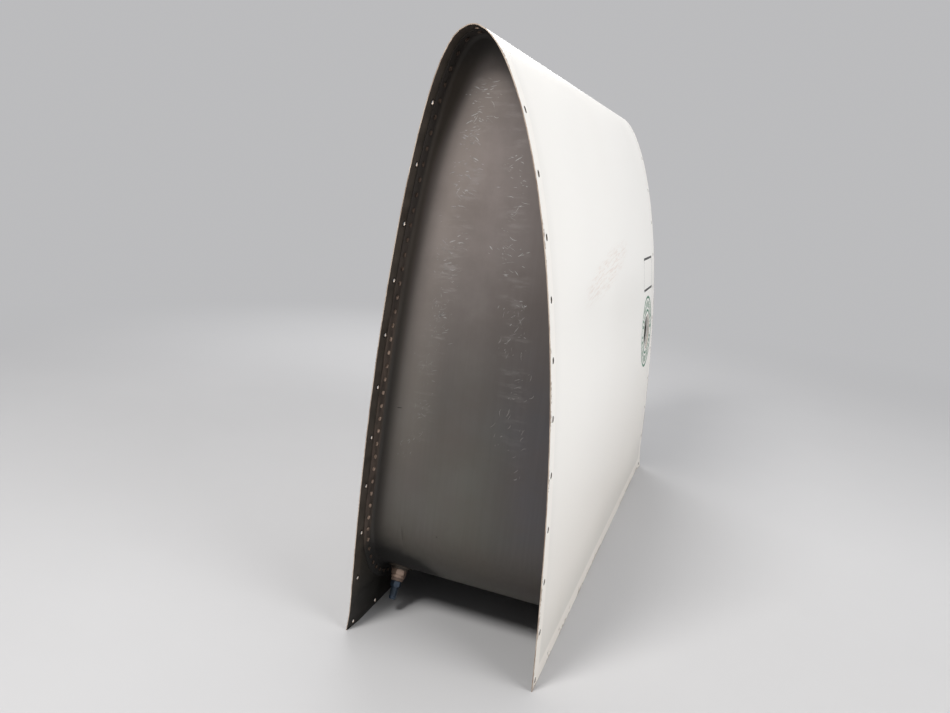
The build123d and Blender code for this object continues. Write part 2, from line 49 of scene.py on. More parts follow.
depth_terms = (1.4406, -1.0206, 2.75, -3.4571, 1.2871)
camber_terms = (-1.0, -0.658, 6.953, -8.508, 3.236)


def section_raw(u):
    """A point of the aerofoil: u is -1 at the lower aft edge, 0 at the nose, 1 at the upper aft edge."""
    share = np.abs(u)
    half = tank_depth / 2 * sum(term * share ** (k + 1) for k, term in enumerate(depth_terms))
    middle = nose_offset * sum(term * share ** k for k, term in enumerate(camber_terms))
    return middle + np.sign(u) * half, tank_height * (1 - u * u)


section_reach = section_raw(np.linspace(-1, 1, 201))[0]
section_middle = (section_reach.max() + section_reach.min()) / 2


def skin_point(u, inset):
    ahead_x, ahead_z = section_raw(u + 0.001)
    behind_x, behind_z = section_raw(u - 0.001)
    run = np.hypot(ahead_x - behind_x, ahead_z - behind_z)
    x, z = section_raw(u)
    return x - section_middle + inset * (ahead_z - behind_z) / run, z + inset * (behind_x - ahead_x) / run


walk_u = np.linspace(-1, 1, 6001)
walk_x, walk_z = skin_point(walk_u, 0.0)
walk_s = np.concatenate(([0.0], np.cumsum(np.hypot(np.diff(walk_x), np.diff(walk_z)))))
skin_run = walk_s[-1]
nose_run = float(np.interp(0.0, walk_u, walk_s))


def run_at_height(side, z):
    return float(np.interp(side * sqrt(1 - z / tank_height), walk_u, walk_s))


def corner_bend(s, y):
    """How far a knocked corner of the sheet stands out of the section."""
    near_lower = max(0.0, 1 - hypot(s, y + half_span) / 0.036)
    far_upper = max(0.0, 1 - hypot(skin_run - s, half_span - y) / 0.040)
    return 0.0030 * near_lower ** 1.5 + 0.0036 * far_upper ** 1.5


dimple_reach = 0.0046
dimple_sink = 0.0011


def dimple_depth(distance):
    """The screw holes are pressed inwards as cones, to take countersunk heads."""
    return dimple_sink * max(0.0, min(1.0, (dimple_reach - distance) / 0.0022))


def on_skin(s, y, inset):
    x, z = skin_point(np.interp(s, walk_s, walk_u), inset - corner_bend(s, y))
    return float(x), y, float(z)


def ruled(low, high, marks, widest):
    """Grid lines from low to high: four about each mark, and none further apart than widest."""
    fixed = {low, high}
    for mark in marks:
        fixed.update(mark + step for step in (-0.006, -0.0032, 0.0, 0.0032, 0.006))
    fixed = sorted(value for value in fixed if low <= value <= high)
    lines = [fixed[0]]
    for value in fixed[1:]:
        steps = ceil((value - lines[-1]) / widest)
        start = lines[-1]
        lines += [start + (value - start) * k / steps for k in range(1, steps + 1)]
    return lines


screw_pitch = 0.0635
end_row_y = half_span - 0.0127
aft_row_s = 0.008
row_runs = [aft_row_s + screw_pitch * k for k in range(11)]
row_runs += [skin_run - run for run in row_runs] + [nose_run]
aft_ys = [-end_row_y + screw_pitch * k for k in range(15)]
filler_run = run_at_height(1, 0.308)
filler_y = 0.356
drain_run = run_at_height(-1, 0.095)
drain_y = -0.300
screw_hole = 0.0022
filler_hole = 0.034
drain_hole = 0.01115
openings = [(run, y, screw_hole) for run in row_runs for y in (-end_row_y, end_row_y)]
openings += [(run, y, screw_hole) for run in (aft_row_s, skin_run - aft_row_s) for y in aft_ys[1:-1]]
openings += [(filler_run, filler_y, filler_hole), (drain_run, drain_y, drain_hole)]
s_lines = ruled(0.0, skin_run, row_runs, 0.0095)
y_lines = ruled(-half_span, half_span, aft_ys, 0.016)


def pierced_sheet(name, s_lines, y_lines, openings, gauge):
    """A sheet on the section's grid lines with a round, rimmed edge at every opening."""
    spots = [(s, y) for s in s_lines for y in y_lines]
    wide = len(y_lines)
    gone = set()
    quads = []
    rims = []
    sunk = {}
    tones = []
    for s, y, radius in openings:
        dimpled = radius == screw_hole
        margin = 0.0036 if dimpled else 0.006
        i0 = max(i for i, v in enumerate(s_lines) if v <= s - radius - margin + 1e-6)
        i1 = min(i for i, v in enumerate(s_lines) if v >= s + radius + margin - 1e-6)
        j0 = max(j for j, v in enumerate(y_lines) if v <= y - radius - margin + 1e-6)
        j1 = min(j for j, v in enumerate(y_lines) if v >= y + radius + margin - 1e-6)
        gone.update((i, j) for i in range(i0, i1) for j in range(j0, j1))
        around = [(i, j0) for i in range(i0, i1)] + [(i1, j) for j in range(j0, j1)]
        around += [(i, j1) for i in range(i1, i0, -1)] + [(i0, j) for j in range(j1, j0, -1)]
        outer = [i * wide + j for i, j in around]
        rings = [outer]
        # the dark rim round a screw hole, grime and painted shade, is wider along the ends than along the aft edges
        stained_and_shaded = 0.0038 if abs(y) > end_row_y - 0.001 else 0.0029
        for reach in (0.0052, 0.0047, stained_and_shaded, radius) if dimpled else (radius + 0.0015, radius):
            ring = []
            for index in outer:
                turn = atan2(spots[index][1] - y, spots[index][0] - s)
                ring.append(len(spots))
                spots.append((s + reach * cos(turn), y + reach * sin(turn)))
                sunk[ring[-1]] = dimple_depth(reach) if dimpled else 0.0
            rings.append(ring)
        for ring, within in zip(rings, rings[1:]):
            for k in range(len(outer)):
                n = (k + 1) % len(outer)
                quads.append((ring[k], ring[n], within[n], within[k]))
                tones.append(3 if dimpled and within is rings[-1] else 0)
        for k in range(len(outer)):
            rims.append((rings[-1][(k + 1) % len(outer)], rings[-1][k]))
    high = len(s_lines) - 1
    for i in range(high):
        for j in range(wide - 1):
            if (i, j) not in gone:
                quads.append((i * wide + j, (i + 1) * wide + j, (i + 1) * wide + j + 1, i * wide + j + 1))
                tones.append(0)
    rims += [(i * wide, (i + 1) * wide) for i in range(high)]
    rims += [((i + 1) * wide + wide - 1, i * wide + wide - 1) for i in range(high)]
    rims += [(high * wide + j, high * wide + j + 1) for j in range(wide - 1)]
    rims += [(j + 1, j) for j in range(wide - 1)]
    points = [on_skin(s, y, sunk.get(k, 0.0)) for k, (s, y) in enumerate(spots)]
    points += [on_skin(s, y, gauge + sunk.get(k, 0.0)) for k, (s, y) in enumerate(spots)]
    back = len(spots)
    faces = [quad[::-1] for quad in quads] + [tuple(back + v for v in quad) for quad in quads]
    faces += [(a, b, b + back, a + back) for a, b in rims]
    mesh = bpy.data.meshes.new(name)
    mesh.from_pydata(points, [], faces)
    kinds = tones + [tone or 1 for tone in tones] + [2] * len(rims)
    mesh.polygons.foreach_set("material_index", kinds)
    mesh.shade_smooth()
    mesh.set_sharp_from_angle(angle=radians(35))
    piece = bpy.data.objects.new(name, mesh)
    bpy.context.collection.objects.link(piece)
    return piece


skin_sheet = pierced_sheet("skin_sheet", s_lines, y_lines, openings, skin_gauge)


def new_material(name):
    material = bpy.data.materials.new(name)
    material.use_nodes = True
    nodes = material.node_tree.nodes
    return material, nodes, material.node_tree.links, nodes["Principled BSDF"]


def new_group(name, inputs, outputs):
    group = bpy.data.node_groups.new(name, "ShaderNodeTree")
    for label, kind, value in inputs:
        socket = group.interface.new_socket(name=label, in_out="INPUT", socket_type=kind)
        socket.default_value = value
    for label, kind in outputs:
        group.interface.new_socket(name=label, in_out="OUTPUT", socket_type=kind)
    return group, group.nodes.new("NodeGroupInput"), group.nodes.new("NodeGroupOutput")


def place_group(nodes, group, **values):
    node = nodes.new("ShaderNodeGroup")
    node.node_tree = group
    for key, value in values.items():
        node.inputs[key.replace("_", " ")].default_value = value
    return node


def math_node(nodes, links, operation, first, second=None, clamp=False):
    node = nodes.new("ShaderNodeMath")
    node.operation = operation
    node.use_clamp = clamp
    for socket, value in zip(node.inputs, (first, second)):
        if value is None:
            continue
        if isinstance(value, (int, float)):
            socket.default_value = value
        else:
            links.new(value, socket)
    return node.outputs[0]


def ease(nodes, links, value, low, high, to_low=0.0, to_high=1.0):
    """A smooth ramp from to_low at low to to_high at high."""
    node = nodes.new("ShaderNodeMapRange")
    node.interpolation_type = "SMOOTHSTEP"
    for label, number in (("From Min", low), ("From Max", high), ("To Min", to_low), ("To Max", to_high)):
        node.inputs[label].default_value = number
    links.new(value, node.inputs["Value"])
    return node.outputs["Result"]


def blend(nodes, links, share, first, second, mode="MIX"):
    node = nodes.new("ShaderNodeMix")
    node.data_type = "RGBA"
    node.blend_type = mode
    sockets = [s for s in node.inputs if s.enabled]
    for socket, value in zip(sockets, (share, first, second)):
        if isinstance(value, (int, float, tuple)):
            socket.default_value = value
        else:
            links.new(value, socket)
    return [s for s in node.outputs if s.enabled][0]


def noise(nodes, links, coordinates, scale, detail=3.0, roughness=0.55, stretch=None):
    if stretch is not None:
        mapping = nodes.new("ShaderNodeMapping")
        mapping.inputs["Scale"].default_value = stretch
        links.new(coordinates, mapping.inputs["Vector"])
        coordinates = mapping.outputs["Vector"]
    node = nodes.new("ShaderNodeTexNoise")
    node.inputs["Scale"].default_value = scale
    node.inputs["Detail"].default_value = detail
    node.inputs["Roughness"].default_value = roughness
    links.new(coordinates, node.inputs["Vector"])
    return node.outputs["Fac"]


# grime: soft uneven dirt, as a mask that other finishes lay under their own colour
grime_group, grime_in, grime_out = new_group(
    "grime",
    [("Vector", "NodeSocketVector", (0, 0, 0)), ("Scale", "NodeSocketFloat", 6.0), ("Amount", "NodeSocketFloat", 0.5)],
    [("Mask", "NodeSocketFloat")],
)
nodes, links = grime_group.nodes, grime_group.links
broad = nodes.new("ShaderNodeTexNoise")
broad.inputs["Detail"].default_value = 6.0
broad.inputs["Roughness"].default_value = 0.62
links.new(grime_in.outputs["Vector"], broad.inputs["Vector"])
links.new(grime_in.outputs["Scale"], broad.inputs["Scale"])
uneven = ease(nodes, links, broad.outputs["Fac"], 0.35, 0.72)
links.new(math_node(nodes, links, "MULTIPLY", uneven, grime_in.outputs["Amount"], True), grime_out.inputs["Mask"])

white_paint, nodes, links, shader = new_material("white_paint_finish")
place = nodes.new("ShaderNodeTexCoord").outputs["Object"]
split = nodes.new("ShaderNodeSeparateXYZ")
links.new(place, split.inputs[0])
along_x, along_y, along_z = split.outputs
# painted light and shade: the white is lighter high up and darker and warmer towards the bottom
painted_shade_white_low = (0.640, 0.605, 0.562, 1)
painted_light_white_high = (0.905, 0.892, 0.866, 1)
colour = blend(nodes, links, ease(nodes, links, along_z, -0.04, 0.40), painted_shade_white_low, painted_light_white_high)
cloudy = ease(nodes, links, noise(nodes, links, place, 3.0, 1.0, 0.4), 0.35, 0.75, 0.0, 0.22)
colour = blend(nodes, links, cloudy, colour, (0.760, 0.740, 0.705, 1))
# brown wash that has run up from the aft edges
wash = noise(nodes, links, place, 16.0, 3.0, 0.6, (1.0, 1.0, 0.25))
washed = math_node(nodes, links, "MULTIPLY", ease(nodes, links, along_z, 0.10, 0.0), ease(nodes, links, wash, 0.40, 0.70))
colour = blend(nodes, links, math_node(nodes, links, "MULTIPLY", washed, 0.14), colour, (0.520, 0.440, 0.360, 1))
# scuffs: a patch of faint pinkish streaks, rubbed slantwise at mid height of the upper side
tilt = nodes.new("ShaderNodeMapping")
tilt.vector_type = "TEXTURE"
tilt.inputs["Location"].default_value = (0, -0.085, 0.456)
tilt.inputs["Rotation"].default_value = (radians(7.5), 0, 0)
tilt.inputs["Scale"].default_value = (1, 0.215, 0.030)
links.new(place, tilt.inputs["Vector"])
flat = nodes.new("ShaderNodeVectorMath")
flat.operation = "MULTIPLY"
flat.inputs[1].default_value = (0, 1, 1)
links.new(tilt.outputs["Vector"], flat.inputs[0])
patch = nodes.new("ShaderNodeTexGradient")
patch.gradient_type = "SPHERICAL"
links.new(flat.outputs[0], patch.inputs["Vector"])
streak = noise(nodes, links, flat.outputs[0], 6.5, 4.0, 0.7, (1.0, 0.8, 1.7))
streak = ease(nodes, links, streak, 0.46, 0.62)
rubbed = math_node(nodes, links, "MULTIPLY", streak, ease(nodes, links, patch.outputs["Fac"], 0.0, 0.45))
rubbed = math_node(nodes, links, "MULTIPLY", rubbed, ease(nodes, links, along_x, 0.0, 0.02), True)
colour = blend(nodes, links, math_node(nodes, links, "MULTIPLY", rubbed, 0.65), colour, (0.770, 0.680, 0.625, 1))
# chips: paint broken away along the end edges and the aft edges, down to brown metal
from_end = math_node(nodes, links, "SUBTRACT", half_span, math_node(nodes, links, "ABSOLUTE", along_y))
edge_gap = math_node(nodes, links, "MINIMUM", from_end, along_z)
ragged = noise(nodes, links, place, 260.0, 3.0, 0.6)
clumped = noise(nodes, links, place, 22.0, 2.0, 0.5)
worn_low = ease(nodes, links, along_z, 0.44, 0.36, 0.0, 0.10)
clumped = math_node(nodes, links, "ADD", clumped, worn_low)
reach = math_node(nodes, links, "MULTIPLY", ease(nodes, links, clumped, 0.54, 0.66), 0.0048)
chip_edge = math_node(nodes, links, "MULTIPLY", reach, ease(nodes, links, ragged, 0.46, 0.56))
chipped = math_node(nodes, links, "LESS_THAN", edge_gap, math_node(nodes, links, "ADD", chip_edge, 0.00045))
colour = blend(nodes, links, chipped, colour, (0.175, 0.115, 0.075, 1))
# the margin beyond the flanges, 23 mm wide, springs out a little as a bump and carries a painted highlight;
# the panel beside it and above the aft edge carries painted shade, with a darker painted line between them
margin_bump_and_highlight = ease(nodes, links, edge_gap, 0.0255, 0.0205)
painted_shade_beside_end = ease(nodes, links, edge_gap, 0.055, 0.024, 0.0, 0.10)
painted_shade_above_foot = ease(nodes, links, along_z, 0.100, 0.024, 0.0, 0.30)
painted_hollow_shade = math_node(nodes, links, "ADD", painted_shade_beside_end, painted_shade_above_foot)
painted_hollow_shade = math_node(nodes, links, "MULTIPLY", painted_hollow_shade, math_node(nodes, links, "SUBTRACT", 1.0, margin_bump_and_highlight))
colour = blend(nodes, links, painted_hollow_shade, colour, (0.520, 0.515, 0.480, 1))
colour = blend(nodes, links, math_node(nodes, links, "MULTIPLY", margin_bump_and_highlight, 0.25), colour, (0.900, 0.850, 0.790, 1))
painted_crease_shade = math_node(nodes, links, "MULTIPLY", margin_bump_and_highlight, math_node(nodes, links, "SUBTRACT", 1.0, margin_bump_and_highlight))
colour = blend(nodes, links, math_node(nodes, links, "MULTIPLY", painted_crease_shade, 0.5), colour, (0.560, 0.535, 0.500, 1))
links.new(colour, shader.inputs["Base Color"])
wave = noise(nodes, links, place, 4.0, 1.0, 0.5)
links.new(ease(nodes, links, wave, 0.3, 0.7, 0.30, 0.38), shader.inputs["Roughness"])
bump = nodes.new("ShaderNodeBump")
bump.inputs["Strength"].default_value = 0.5
bump.inputs["Distance"].default_value = 0.0001
raised = math_node(nodes, links, "MULTIPLY", margin_bump_and_highlight, 3.0)
links.new(math_node(nodes, links, "SUBTRACT", raised, chipped), bump.inputs["Height"])
links.new(bump.outputs["Normal"], shader.inputs["Normal"])
shader.inputs["Specular IOR Level"].default_value = 0.1

# the bare inside of the sheet, browned and dull
bare_inside, nodes, links, shader = new_material("bare_inside_finish")
place = nodes.new("ShaderNodeTexCoord").outputs["Object"]
split = nodes.new("ShaderNodeSeparateXYZ")
links.new(place, split.inputs[0])
dirt = place_group(nodes, grime_group, Scale=9.0, Amount=0.8)
links.new(place, dirt.inputs["Vector"])
rolled = noise(nodes, links, place, 60.0, 4.0, 0.6, (1.0, 0.06, 1.0))
colour = blend(nodes, links, ease(nodes, links, rolled, 0.3, 0.7), (0.034, 0.031, 0.026, 1), (0.052, 0.047, 0.040, 1))
colour = blend(nodes, links, dirt.outputs["Mask"], colour, (0.038, 0.028, 0.020, 1))
from_end = math_node(nodes, links, "SUBTRACT", half_span, math_node(nodes, links, "ABSOLUTE", split.outputs["Y"]))
margin = math_node(nodes, links, "MINIMUM", from_end, split.outputs["Z"])
lighter = ease(nodes, links, margin, 0.026, 0.014)
lighter = math_node(nodes, links, "MULTIPLY", lighter, ease(nodes, links, rolled, 0.25, 0.60, 0.25, 0.75))
colour = blend(nodes, links, lighter, colour, (0.090, 0.073, 0.059, 1))
# painted shade: the inside darkens towards the bottom edge
shaded = ease(nodes, links, split.outputs["Z"], 0.090, 0.035, 0.0, 0.90)
colour = blend(nodes, links, shaded, colour, (0.012, 0.011, 0.009, 1))
links.new(colour, shader.inputs["Base Color"])
links.new(ease(nodes, links, rolled, 0.3, 0.7, 0.46, 0.62), shader.inputs["Roughness"])
shader.inputs["Metallic"].default_value = 0.4

# the cut edge of the sheet: brown-grey metal with traces of primer
cut_edge, nodes, links, shader = new_material("cut_edge_finish")
place = nodes.new("ShaderNodeTexCoord").outputs["Object"]
dirt = place_group(nodes, grime_group, Scale=40.0, Amount=0.9)
links.new(place, dirt.inputs["Vector"])
links.new(
    blend(nodes, links, dirt.outputs["Mask"], (0.56, 0.47, 0.39, 1), (0.20, 0.13, 0.09, 1)),
    shader.inputs["Base Color"],
)
shader.inputs["Roughness"].default_value = 0.55
shader.inputs["Metallic"].default_value = 0.3

# the pressed rims of the screw holes: paint gone, dark with old thread lubricant, and painted near-black as the shade
# inside the holes
hole_grime_and_shade, nodes, links, shader = new_material("hole_rim_dirt_and_shade_finish")
place = nodes.new("ShaderNodeTexCoord").outputs["Object"]
dirt = place_group(nodes, grime_group, Scale=90.0, Amount=0.9)
links.new(place, dirt.inputs["Vector"])
links.new(
    blend(nodes, links, dirt.outputs["Mask"], (0.008, 0.006, 0.005, 1), (0.030, 0.023, 0.018, 1)),
    shader.inputs["Base Color"],
)
shader.inputs["Roughness"].default_value = 0.6
shader.inputs["Metallic"].default_value = 0.3

for finish in (white_paint, bare_inside, cut_edge, hole_grime_and_shade):
    skin_sheet.data.materials.append(finish)
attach(skin_sheet, "root")
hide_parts("skin")


# End ribs
# Each end is closed by a rib pressed from 1 mm bare aluminium: a flat web, a soft bend back under
# the tank, and a flange turned outwards all round, riveted inside the skin with sealant between.
end_recess = 0.040
web_y = half_span - end_recess
rib_gauge = 0.001
rib_flange = 0.021
rib_bend_radius = 0.103
rib_corner = 0.005
rib_foot = 0.047
rib_lap = 0.030
sealant = 0.00015
flange_face = skin_gauge + sealant + rib_gauge
bend_y = web_y - rib_bend_radius
bend_z = rib_foot + rib_bend_radius
lap_end = bend_y - rib_lap


def rib_spot(side, station, inset, rise):
    """A point of the rib: inset from the skin's outer face, and rise outwards from the web."""
    kind, value = station
    if kind == "web":
        x, z = skin_point(side * value, inset)
        return float(x), web_y + rise, float(z)
    if kind == "bend":
        y = bend_y + (rib_bend_radius + rise) * cos(value)
        z = bend_z - (rib_bend_radius + rise) * sin(value)
    else:
        y = value
        z = bend_z - rib_bend_radius - rise
    x = skin_point(side * sqrt(1 - z / tank_height), inset)[0]
    return float(x), y, z


def rib_layer(stations, across, corner_radius, inset):
    rows = []
    centre = inset + corner_radius
    arc = [(centre - corner_radius * sin(t), -corner_radius * cos(t)) for t in np.linspace(pi / 2, 0, 6)]
    for station in stations:
        left = [rib_spot(-1, station, inset, rise) for rise in np.linspace(rib_flange, rib_corner, 5)[:-1]]
        right = [rib_spot(1, station, inset, rise) for rise in np.linspace(rib_corner, rib_flange, 5)[1:]]
        low = [rib_spot(-1, station, i, rib_corner + r) for i, r in arc]
        high = [rib_spot(1, station, i, rib_corner + r) for i, r in arc[::-1]]
        a, b = Vector(low[-1]), Vector(high[0])
        middle = [tuple(a.lerp(b, k / across)) for k in range(1, across)]
        rows.append(left + low + middle + high + right)
    return rows


def end_rib_sheet(name, end):
    top_share = sqrt(1 - bend_z / tank_height)
    stations = [("web", top_share * sin(k / 110 * pi / 2)) for k in range(111)]
    stations += [("bend", k / 40 * pi / 2) for k in range(1, 41)]
    stations += [("lap", bend_y - (bend_y - lap_end) * k / 6) for k in range(1, 7)]
    front = rib_layer(stations, 30, rib_corner, flange_face)
    back = rib_layer(stations, 30, rib_corner + rib_gauge, flange_face - rib_gauge)
    points = []
    for rows in (front, back):
        for row in rows:
            points += [(x, end * y, z) for x, y, z in row]
    wide = len(front[0])
    high = len(front)
    layer = wide * high
    faces = []
    for i in range(high - 1):
        for j in range(wide - 1):
            quad = (i * wide + j, i * wide + j + 1, (i + 1) * wide + j + 1, (i + 1) * wide + j)
            faces.append(quad)
            faces.append(tuple(layer + v for v in quad[::-1]))
        for j, turn in ((0, 1), (wide - 1, -1)):
            a, b = i * wide + j, (i + 1) * wide + j
            faces.append((a, b, b + layer, a + layer)[::turn])
    for j in range(wide - 1):
        a, b = (high - 1) * wide + j, (high - 1) * wide + j + 1
        faces.append((a, b, b + layer, a + layer))
    if end > 0:
        faces = [face[::-1] for face in faces]
    mesh = bpy.data.meshes.new(name)
    mesh.from_pydata(points, [], faces)
    piece = bpy.data.objects.new(name, mesh)
    bpy.context.collection.objects.link(piece)
    shell = bmesh.new()
    shell.from_mesh(mesh)
    bmesh.ops.remove_doubles(shell, verts=shell.verts, dist=1e-6)
    bmesh.ops.recalc_face_normals(shell, faces=shell.faces)
    shell.to_mesh(mesh)
    shell.free()
    mesh.shade_smooth()
    mesh.set_sharp_from_angle(angle=radians(40))
    return piece


# brushed: fine rolled lines along one direction
brushed_group, brushed_in, brushed_out = new_group(
    "brushed",
    [("Vector", "NodeSocketVector", (0, 0, 0)), ("Stretch", "NodeSocketVector", (1, 1, 0.02))],
    [("Line", "NodeSocketFloat")],
)
nodes, links = brushed_group.nodes, brushed_group.links
stretched = nodes.new("ShaderNodeVectorMath")
stretched.operation = "MULTIPLY"
links.new(brushed_in.outputs["Vector"], stretched.inputs[0])
links.new(brushed_in.outputs["Stretch"], stretched.inputs[1])
coarse = noise(nodes, links, stretched.outputs[0], 260.0, 3.0, 0.55)
links.new(ease(nodes, links, coarse, 0.3, 0.7), brushed_out.inputs["Line"])

# rib_gap: how far a point lies from the lower skin, from its x and its height
gap_group, gap_in, gap_out = new_group(
    "rib_gap", [("Vector", "NodeSocketVector", (0, 0, 0))], [("Gap", "NodeSocketFloat"), ("Across", "NodeSocketFloat")]
)
nodes, links = gap_group.nodes, gap_group.links
split = nodes.new("ShaderNodeSeparateXYZ")
links.new(gap_in.outputs["Vector"], split.inputs[0])
share = math_node(nodes, links, "DIVIDE", split.outputs["Z"], tank_height, True)
edges = []
for side in (-1, 1):
    curve = nodes.new("ShaderNodeFloatCurve")
    line = curve.mapping.curves[0]
    for k, u in enumerate(np.linspace(1, 0, 15)):
        x = float(skin_point(side * u, 0.0)[0])
        spot = (1 - float(u) ** 2, (x + 0.125) / 0.25)
        if k < 2:
            line.points[k].location = spot if k == 0 else (1.0, (float(skin_point(0.0, 0.0)[0]) + 0.125) / 0.25)
        if 0 < k < 14:
            line.points.new(*spot)
    curve.mapping.update()
    links.new(share, curve.inputs["Value"])
    edges.append(math_node(nodes, links, "SUBTRACT", math_node(nodes, links, "MULTIPLY", curve.outputs[0], 0.25), 0.125))
gap = math_node(nodes, links, "SUBTRACT", split.outputs["X"], edges[0])
links.new(gap, gap_out.inputs["Gap"])
width = math_node(nodes, links, "SUBTRACT", edges[1], edges[0])
links.new(math_node(nodes, links, "DIVIDE", gap, math_node(nodes, links, "ADD", width, 0.001)), gap_out.inputs["Across"])

web_metal, nodes, links, shader = new_material("end_rib_finish")
place = nodes.new("ShaderNodeTexCoord").outputs["Object"]
split = nodes.new("ShaderNodeSeparateXYZ")
links.new(place, split.inputs[0])
along_x, along_y, along_z = split.outputs
lines = place_group(nodes, brushed_group, Stretch=(1.0, 1.0, 0.03))
links.new(place, lines.inputs["Vector"])
dirt = place_group(nodes, grime_group, Scale=7.0, Amount=0.7)
links.new(place, dirt.inputs["Vector"])
reach = place_group(nodes, gap_group)
links.new(place, reach.inputs["Vector"])
# the mill finish, warm, with painted light and shade: lighter high up, darker near the nose, darker towards the right
# and cooler and darker still low on the right, darkest low on the bend; an olive tint on the bend
painted_shade_mill_low = (0.118, 0.109, 0.101, 1)
painted_light_mill_high = (0.325, 0.280, 0.262, 1)
colour = blend(nodes, links, ease(nodes, links, along_z, 0.30, 0.60), painted_shade_mill_low, painted_light_mill_high)
# painted shade towards the nose
colour = blend(nodes, links, ease(nodes, links, along_z, 0.56, 0.68, 0.0, 0.6), colour, (0.200, 0.172, 0.160, 1))
# painted shade towards the right side, cooler low down
rightward_painted_shade = ease(nodes, links, reach.outputs["Across"], 0.35, 1.0)
colour = blend(nodes, links, math_node(nodes, links, "MULTIPLY", rightward_painted_shade, 0.55), colour, (0.078, 0.068, 0.067, 1))
cool_painted_shade = ease(nodes, links, reach.outputs["Across"], 0.45, 0.95)
cool_painted_shade = math_node(nodes, links, "MULTIPLY", cool_painted_shade, ease(nodes, links, along_z, 0.50, 0.25))
colour = blend(nodes, links, math_node(nodes, links, "MULTIPLY", cool_painted_shade, 0.65), colour, (0.068, 0.071, 0.084, 1))
# painted shade low on the bend
low_painted_shade = ease(nodes, links, along_z, 0.20, 0.055)
colour = blend(nodes, links, math_node(nodes, links, "MULTIPLY", low_painted_shade, 0.85), colour, (0.041, 0.037, 0.028, 1))
fine_line = ease(nodes, links, lines.outputs["Line"], 0.2, 0.8, 0.0, 0.009)
colour = blend(nodes, links, fine_line, colour, (0.62, 0.60, 0.58, 1))
mottle = ease(nodes, links, noise(nodes, links, place, 15.0, 5.0, 0.62), 0.34, 0.70, 0.0, 0.30)
colour = blend(nodes, links, mottle, colour, (0.085, 0.070, 0.062, 1))
tint = ease(nodes, links, noise(nodes, links, place, 11.0, 2.0, 0.5, (1.0, 1.0, 0.4)), 0.38, 0.62, 0.0, 0.6)
tint = math_node(nodes, links, "MULTIPLY", tint, ease(nodes, links, along_z, 0.42, 0.18))
colour = blend(nodes, links, tint, colour, (0.91, 1.0, 0.90, 1), "MULTIPLY")
# pale rubbed haze in two rows, where the short scratches lie
smear = noise(nodes, links, place, 80.0, 4.0, 0.65, (0.40, 1.0, 1.6))
for slope, base, strength in ((0.116, -0.0955, 0.34), (-0.1144, 0.0865, 0.20)):
    row = math_node(nodes, links, "ADD", math_node(nodes, links, "MULTIPLY", along_z, slope), base)
    off_row = math_node(nodes, links, "ABSOLUTE", math_node(nodes, links, "SUBTRACT", along_x, row))
    haze = ease(nodes, links, off_row, 0.024, 0.004)
    haze = math_node(nodes, links, "MULTIPLY", haze, ease(nodes, links, smear, 0.50, 0.72))
    haze = math_node(nodes, links, "MULTIPLY", haze, ease(nodes, links, along_z, 0.20, 0.46, 0.0, strength))
    colour = blend(nodes, links, haze, colour, (0.42, 0.40, 0.39, 1))
dusty = math_node(nodes, links, "MULTIPLY", dirt.outputs["Mask"], 0.30)
colour = blend(nodes, links, dusty, colour, (0.110, 0.080, 0.062, 1))
# painted shadow: a soft dark strip cast by the lower skin on the web beside it, wider towards the nose, with a lighter
# warm fringe just beyond it
painted_shadow_strip = math_node(nodes, links, "SUBTRACT", reach.outputs["Gap"], ease(nodes, links, along_z, 0.56, 0.70, 0.0, 0.014))
# 1 clear of the painted shadow, 0 within it
clear = ease(nodes, links, painted_shadow_strip, 0.004, 0.024)
fringe = ease(nodes, links, painted_shadow_strip, 0.080, 0.035)
fringe = math_node(nodes, links, "MULTIPLY", fringe, ease(nodes, links, along_z, 0.15, 0.35, 0.0, 0.28))
colour = blend(nodes, links, fringe, colour, (0.300, 0.262, 0.232, 1))
painted_shadow_low = (0.034, 0.029, 0.024, 1)
painted_shadow_high = (0.047, 0.035, 0.025, 1)
painted_shadow_tone = blend(nodes, links, ease(nodes, links, along_z, 0.30, 0.52), painted_shadow_low, painted_shadow_high)
colour = blend(nodes, links, clear, painted_shadow_tone, colour)
# painted shade: the web darkens to near-black at the nose tip
nose = ease(nodes, links, along_z, 0.660, 0.700)
colour = blend(nodes, links, math_node(nodes, links, "MULTIPLY", nose, 0.85), colour, (0.020, 0.017, 0.014, 1))
# the flange is browned and smeared all over; the corner bend into it takes the same dark tone as painted shade, and
# high up both are painted darker as shade
on_flange = ease(nodes, links, math_node(nodes, links, "ABSOLUTE", along_y), web_y + 0.0005, web_y + 0.004)
smeared = ease(nodes, links, noise(nodes, links, place, 70.0, 4.0, 0.65, (1.0, 1.0, 0.35)), 0.36, 0.66)
flange_dirt_and_shade = blend(nodes, links, smeared, (0.090, 0.066, 0.052, 1), (0.030, 0.022, 0.017, 1))
flange_dirt_and_shade = blend(nodes, links, ease(nodes, links, along_z, 0.36, 0.56), flange_dirt_and_shade, (0.034, 0.028, 0.024, 1))
colour = blend(nodes, links, math_node(nodes, links, "MULTIPLY", on_flange, 0.95), colour, flange_dirt_and_shade)
